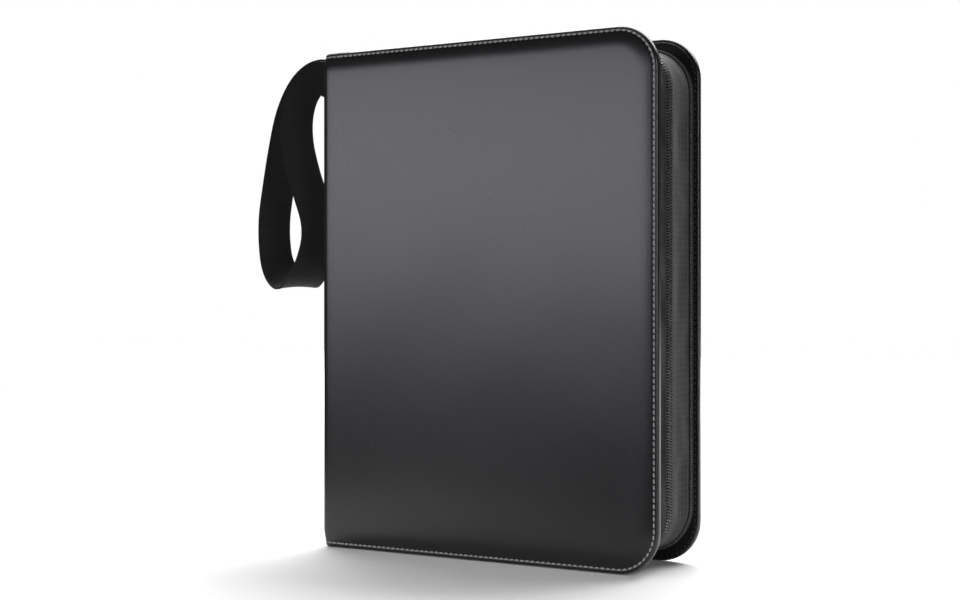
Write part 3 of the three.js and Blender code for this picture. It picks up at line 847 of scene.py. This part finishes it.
# Even places along a smooth line through rows of numbers, whose first three are a point.
def throughPoints(rows, step):
    out, reach, at = [], 0.0, 0.0
    last = None
    for i in range(len(rows) - 1):
        a, b, c, d = (rows[min(max(i + k, 0), len(rows) - 1)] for k in (-1, 0, 1, 2))
        for j in range(60):
            t = j / 60
            p = [0.5 * (2 * b[k] + (c[k] - a[k]) * t + (2 * a[k] - 5 * b[k] + 4 * c[k] - d[k]) * t * t
                        + (3 * b[k] - a[k] - 3 * c[k] + d[k]) * t ** 3) for k in range(len(b))]
            if last:
                at += math.dist(last[:3], p[:3])
            if at >= reach:
                out.append(p)
                reach += step
            last = p
    out.append(list(rows[-1]))
    return out, at


def addStrap():
    line, length = throughPoints(strap["route"], strap["step"])
    half, t = strap["width"] / 2, strap["thick"] / 2
    across = [(-half, 0.0), (-half + 0.25, -t * 0.8), (-half + 1.1, -t)]
    across += [(-half + 1.6 + k * (2 * half - 3.2) / 9, -t * 0.86) for k in range(10)]
    across += [(half - 1.1, -t), (half - 0.25, -t * 0.8)]
    section = across + [(-u, -v) for u, v in across]
    lengths = [0.0]
    for a, b in zip(section, section[1:]):
        lengths.append(lengths[-1] + math.dist(a, b))
    rows, uvs = [], []
    for i, p in enumerate(line):
        before, after = line[max(i - 1, 0)], line[min(i + 1, len(line) - 1)]
        tangent = Vector([after[k] - before[k] for k in range(3)]).normalized()
        turn, lean = math.radians(p[3]), math.radians(p[4])
        inner = Vector((-math.cos(turn) * math.sin(lean), math.cos(turn) * math.cos(lean), math.sin(turn)))
        inner = (inner - tangent * inner.dot(tangent)).normalized()
        side = inner.cross(tangent).normalized()
        at = Vector(p[:3])
        s = i * strap["step"]
        cup = 0.35 * noise.noise(Vector((s / 30, 0, 8)))
        row = []
        for (u, v), w in zip(section, lengths):
            bow = cup * (1 - (u / half) ** 2)
            row.append(at + side * u + inner * (v + bow))
            uvs.append((w, s))
        rows.append(row)
    verts, faces = skinRows(rows)
    piece = makePiece("hand_strap_webbing", verts, faces, finishes["webbing"], uvs)
    weld(piece)
    place(piece, "hand_strap", ["hand_strap"])

    low, high = nodeBox("strap_anchor_patch")
    border = lambda inset: roundedLoop((low.y, low.z), (high.y, high.z), (2.5,) * 4, inset, 2.0, 6)
    rows = []
    for inset, x in ((0.0, spineOuter - 0.1), (0.0, low.x + 0.7), (0.5, low.x + 0.25), (1.5, low.x + 0.1),
                     (2.0, low.x + 0.35), (2.5, low.x + 0.1), (4.0, low.x)):
        rows.append([Vector((x, y, z)) for y, z in border(inset)])
    verts, faces = skinRows(rows)
    patch = makePiece("strap_patch", verts, faces, finishes["edge"])
    weld(patch)
    place(patch, "spine", ["strap_anchor_patch"])
    parts = []
    loop = border(2.0)
    for p, way in walkLine(loop + [loop[0]], 3.2, 0.5):
        along, crossing = Vector((0, way.x, way.y)), Vector((0, -way.y, way.x))
        at = Vector((low.x + 0.1, p.x, p.y))
        parts.append(bead(at, along, crossing, Vector((-1, 0, 0)), (1.2, 0.35, 0.3)))
    verts, faces = joinParts(parts)
    place(makePiece("strap_patch_stitches", verts, faces, finishes["thread"]), "spine")


addStrap()
print("strap made")


# The last of the gusset folds round the spine's end as a soft pleat, at the head and at the foot.
def addEnds():
    for word, level, up in (("top", gussetTop, 1), ("bottom", wallLow, -1)):
        for side, cover_, y0, y1 in ((-1, "front_cover", -28.6, -7.6), (1, "back_cover", -8.4, 28.6)):
            rows, uvs = [], []
            count = 24
            for i in range(count + 1):
                y = y0 + (y1 - y0) * i / count
                row = []
                for k in range(9):
                    x = 2.6 + (8.9 - 2.6) * k / 8
                    sink = 1.1 * math.sin(math.pi * k / 8) + 0.35 * math.sin(y / 2.6 + k * 0.5)
                    sink += 0.5 * noise.noise(Vector((x / 4, y / 9, up * 3)))
                    row.append(Vector((x, y, level - up * (0.5 + sink))))
                row += [v - Vector((0, 0, up * 1.0)) for v in reversed(row)]
                rows.append(row)
                uvs += [(y, v.x) for v in row]
            verts, faces = skinRows(rows)
            name = f"gusset_end_{word}_" + ("front" if side < 0 else "back")
            piece = makePiece(name, verts, faces, finishes["gusset"], uvs)
            weld(piece)
            bodies = ("spine", cover_) if side < 0 else (cover_, "spine")
            first, last = (2.6, side * 24, 0), (9, side * 34, 0)
            ends = (first, last) if side < 0 else (last, first)
            bendPiece(piece, bodies, *ends, "gusset_fabric", ["gusset_end_" + word])


addEnds()
print("gusset ends made")


# zip slider, pull and stops
def finishNode(name, material, bevel=0.0):
    node = coat(name, material)
    if bevel:
        made = node.modifiers.new("edges", "BEVEL")
        made.width = bevel * mm
        made.segments = 3
        made.limit_method = "ANGLE"
        made.angle_limit = math.radians(35)
        for polygon in node.data.polygons:
            polygon.use_smooth = True
        smoother = node.modifiers.new("shading", "WEIGHTED_NORMAL")
        smoother.keep_sharp = False
    return node


for part, bevel in (("slider", 0.35), ("pull", 0.3), ("stop_top", 0.3), ("stop_bottom", 0.3)):
    finishNode("zip_" + part, finishes["zipMetal"], bevel)
print("slider and stops finished")


# ring mechanism
rings = {"centreX": 20.0, "radius": 14.5, "wire": 1.5}


def addRings():
    for side, body, node in ((-1, "ring_front", "ring_half_front"), (1, "ring_back", "ring_half_back")):
        low, high = nodeBox(node)
        parts = []
        for z in ringHeights:
            run = []
            for i in range(27):
                a = math.radians(199 * (1 - i / 26))
                x = rings["centreX"] + rings["radius"] * math.cos(a)
                y = side * rings["radius"] * math.sin(a)
                run.append(Vector((x, y, z)))
            run = [p for p in run if side * p.y > 0.14]
            run.append(Vector((rings["centreX"] + rings["radius"], side * 0.14, z)))
            run.insert(0, Vector((run[0].x - 0.6, run[0].y, z)))
            parts.append(tubeAlong(run, rings["wire"], 16))
        blade = [(4.6, 0.45), (5.75, 0.45), (5.75, 9.2), (5.4, 9.6), (4.95, 9.6), (4.6, 9.2)]
        rows = []
        for z in (low.z + 0.2, high.z - 0.2):
            rows.append([Vector((x, side * y, z)) for x, y in blade])
        parts.append(skinRows(rows))
        verts, faces = joinParts(parts)
        piece = makePiece("rings_" + ("front" if side < 0 else "back"), verts, faces, finishes["nickel"])
        weld(piece)
        place(piece, body, [node])
    finishNode("ring_plate", finishes["plate"], 0.2)
    for end in ("top", "bottom"):
        finishNode("lever_" + end, finishes["plate"], 0.6)
        finishNode("ring_rivet_" + end, finishes["nickel"], 0.3)


addRings()
print("rings made")


# pocket pages
page = {"weld": 0.9, "bulge": 0.34, "hole": 4.2, "holeInset": 7, "strip": 16, "sheet": 0.12}


def addPage(node, body):
    low, high = nodeBox(node)
    y = (low.y + high.y) / 2
    stripX = low.x + page["strip"]
    x0, x1, z0, z1 = stripX + 1.2, high.x - 1.5, low.z + 1.5, high.z - 1.5
    # the outline, with the punched strip set in at both ends
    short0, short1 = low.z + page["strip"], high.z - page["strip"]
    outline = [(low.x, short0 + 2), (low.x + 2, short0), (stripX - 1, short0), (stripX + 2, low.z),
               (high.x - 2, low.z), (high.x, low.z + 2), (high.x, high.z - 2),
               (high.x - 2, high.z), (stripX + 2, high.z), (stripX - 1, short1), (low.x + 2, short1),
               (low.x, short1 - 2)]
    fine = []
    for a, b in zip(outline, outline[1:] + outline[:1]):
        n = max(1, int(math.dist(a, b) / 9))
        fine += [(a[0] + (b[0] - a[0]) * k / n, a[1] + (b[1] - a[1]) * k / n) for k in range(n)]
    holeX = low.x + page["holeInset"]
    rounds = [[(holeX + page["hole"] * math.cos(-a), z + page["hole"] * math.sin(-a))
               for a in [2 * math.pi * k / 20 for k in range(20)]] for z in ringHeights]
    pocketW, pocketH = (x1 - x0) / 3, (z1 - z0) / 3

    def lift(p):
        if p[0] < x0 or p[0] > x1 or p[1] < z0 or p[1] > z1:
            return 0.0
        u = ((p[0] - x0) / pocketW) % 1 * pocketW
        v = ((p[1] - z0) / pocketH) % 1 * pocketH
        edge = min(u, pocketW - u, v, pocketH - v)
        return smooth((edge - page["weld"]) / 3.2)

    def gridLines(start, size, inner, last):
        steps = (0, 0.9, 2.2, 4.2, *inner, size - 4.2, size - 2.2, size - 0.9)
        return [start + size * i + d for i in range(3) for d in steps] + [last]

    xs = gridLines(x0, pocketW, (22, 42), x1)
    zs = gridLines(z0, pocketH, (30, 60), z1)
    points = [Vector(p) for p in fine]
    edges = [(i, (i + 1) % len(fine)) for i in range(len(fine))]
    for ring in rounds:
        base = len(points)
        points += [Vector(p) for p in ring]
        edges += [(base + i, base + (i + 1) % len(ring)) for i in range(len(ring))]
    # the pocket grid's own lines are kept, so the folds run straight
    base = len(points)
    rows = len(zs)
    points += [Vector((x, z)) for x in xs for z in zs]
    edges += [(base + i * rows + j, base + i * rows + j + 1)
              for i in range(len(xs)) for j in range(rows - 1)]
    edges += [(base + i * rows + j, base + (i + 1) * rows + j)
              for i in range(len(xs) - 1) for j in range(rows)]
    made = delaunay_2d_cdt(points, edges, [], 1, 1e-5)
    flat = [tuple(p) for p in made[0]]

    def inHole(f):
        cx = sum(flat[i][0] for i in f) / len(f)
        cz = sum(flat[i][1] for i in f) / len(f)
        return any(math.hypot(cx - holeX, cz - z) < page["hole"] * 0.97 for z in ringHeights)

    tris = [tuple(f) for f in made[2] if not inHole(f)]
    seed = low.y * 7
    wave = lambda p: 0.1 * noise.noise(Vector((p[0] / 60, p[1] / 60, seed))) * smooth((p[0] - stripX) / 30)
    half = page["sheet"] / 2
    front = [Vector((p[0], y + wave(p) - half - page["bulge"] * lift(p), p[1])) for p in flat]
    back = [Vector((p[0], y + wave(p) + half + page["bulge"] * lift(p), p[1])) for p in flat]
    n = len(flat)
    count = {}
    for f in tris:
        for a, b in zip(f, f[1:] + f[:1]):
            count[(a, b)] = count.get((a, b), 0) + 1
    rim = [(a, b) for a, b in count if (b, a) not in count]
    faces = tris + [tuple(reversed([i + n for i in f])) for f in tris]
    faces += [(b, a, a + n, b + n) for a, b in rim]
    piece = makePiece(node + "_film", front + back, faces, finishes["film"])
    weld(piece)
    piece.data.materials.append(finishes["weldLine"])
    for polygon in piece.data.polygons:
        p = polygon.center / mm
        u = min((p.x - x0) % pocketW, -(p.x - x0) % pocketW)
        v = min((p.z - z0) % pocketH, -(p.z - z0) % pocketH)
        if x0 - 1 < p.x < x1 + 1 and min(u, v) < page["weld"]:
            polygon.material_index = 1
    place(piece, body, [node])


for leaf in range(1, 6):
    addPage(f"page_front_{leaf}", "front_pages")
    addPage(f"page_back_{leaf}", "back_pages")
print("pages made")


# floor, lights and camera
def softLight(name, at, toward, size, power, tint=(1, 1, 1)):
    data = bpy.data.lights.new(name, "AREA")
    data.shape = "RECTANGLE"
    data.size, data.size_y = size
    data.energy = power
    data.color = tint
    lamp = bpy.data.objects.new(name, data)
    lamp.location = at
    lamp.rotation_euler = (Vector(toward) - Vector(at)).to_track_quat("-Z", "Y").to_euler()
    bpy.context.scene.collection.objects.link(lamp)
    return lamp


def addStudio():
    points = [(-0.1, -0.35, 0), (0.6, 0.03, 0), (2.2, 1.2, 0), (2.2, 3.6, 0), (-3.4, 3.6, 0), (-3.4, 2.9, 0)]
    mesh = bpy.data.meshes.new("floor")
    mesh.from_pydata(points, [], [tuple(range(len(points)))])
    floor = bpy.data.objects.new("floor", mesh)
    bpy.context.scene.collection.objects.link(floor)
    floor.location.z = -0.0004
    look = Finish("floorPaper", (0.9, 0.9, 0.9), 0.8)
    grain = look.noise(look.coords(), 90, 4)
    look.tint(grain, (0.89, 0.89, 0.89), (0.91, 0.91, 0.91))
    # painted light: the floor glows, from nothing at 0.7 m out from the binder to full at 1.5 m, so the far
    # floor reads white where the lamps fall off
    away = look.node("ShaderNodeVectorMath", i0=look.coords())
    away.operation = "LENGTH"
    paintedFarGlow = look.spread(away.outputs["Value"], 0.7, 1.5, 0, 1)
    look.shader.inputs["Emission Color"].default_value = (1, 1, 1, 1)
    look.tree.links.new(paintedFarGlow, look.shader.inputs["Emission Strength"])
    mesh.materials.append(look.material)

    # the room is pale behind the binder and dim in front of it; the backdrop itself is white
    world = bpy.data.worlds.new("studio")
    world.use_nodes = True
    tree = world.node_tree
    sky = tree.nodes["Background"]
    sky.inputs["Color"].default_value = (1, 1, 1, 1)
    around = tree.nodes.new("ShaderNodeTexCoord")
    toward = tree.nodes.new("ShaderNodeVectorMath")
    toward.operation = "DOT_PRODUCT"
    toward.inputs[1].default_value = (-0.518, 0.855, 0)
    fade = tree.nodes.new("ShaderNodeMapRange")
    tree.links.new(around.outputs["Generated"], toward.inputs[0])
    tree.links.new(toward.outputs["Value"], fade.inputs["Value"])
    for socket, value in (("From Min", 0.6), ("From Max", 1.0), ("To Min", 0.08), ("To Max", 0.14)):
        fade.inputs[socket].default_value = value
    path = tree.nodes.new("ShaderNodeLightPath")
    lit = tree.nodes.new("ShaderNodeMath")
    lit.operation = "MAXIMUM"
    tree.links.new(fade.outputs["Result"], lit.inputs[0])
    tree.links.new(path.outputs["Is Camera Ray"], lit.inputs[1])
    tree.links.new(lit.outputs[0], sky.inputs["Strength"])
    bpy.context.scene.world = world
    softLight("frontLeft", (-0.98, -2.4, 0.5), (0.1, 0, 0.26), (2.3, 0.72), 22, (0.98, 0.96, 1.04))
    softLight("rightEdge", (1.9, -1.2, 0.4), (0.2, 0, 0.17), (0.34, 1.2), 15)
    softLight("overhead", (0.15, -0.3, 1.7), (0.1, -0.1, 0), (1.4, 0.9), 7)
    softLight("backFloor", (-0.45, 1.7, 2.2), (-0.4, 1.1, 0), (4.2, 2.2), 215)


def addCamera():
    data = bpy.data.cameras.new("view")
    data.lens, data.sensor_width = 61.1, 36
    camera = bpy.data.objects.new("view", data)
    camera.location = (0.6847, -0.9554, 0.1725)
    camera.rotation_mode = "QUATERNION"
    camera.rotation_quaternion = Vector((-0.518, 0.855, 0)).to_track_quat("-Z", "Y")
    bpy.context.scene.collection.objects.link(camera)
    bpy.context.scene.camera = camera


addStudio()
addCamera()
bpy.context.scene.view_settings.view_transform = "Standard"

print("scene made")
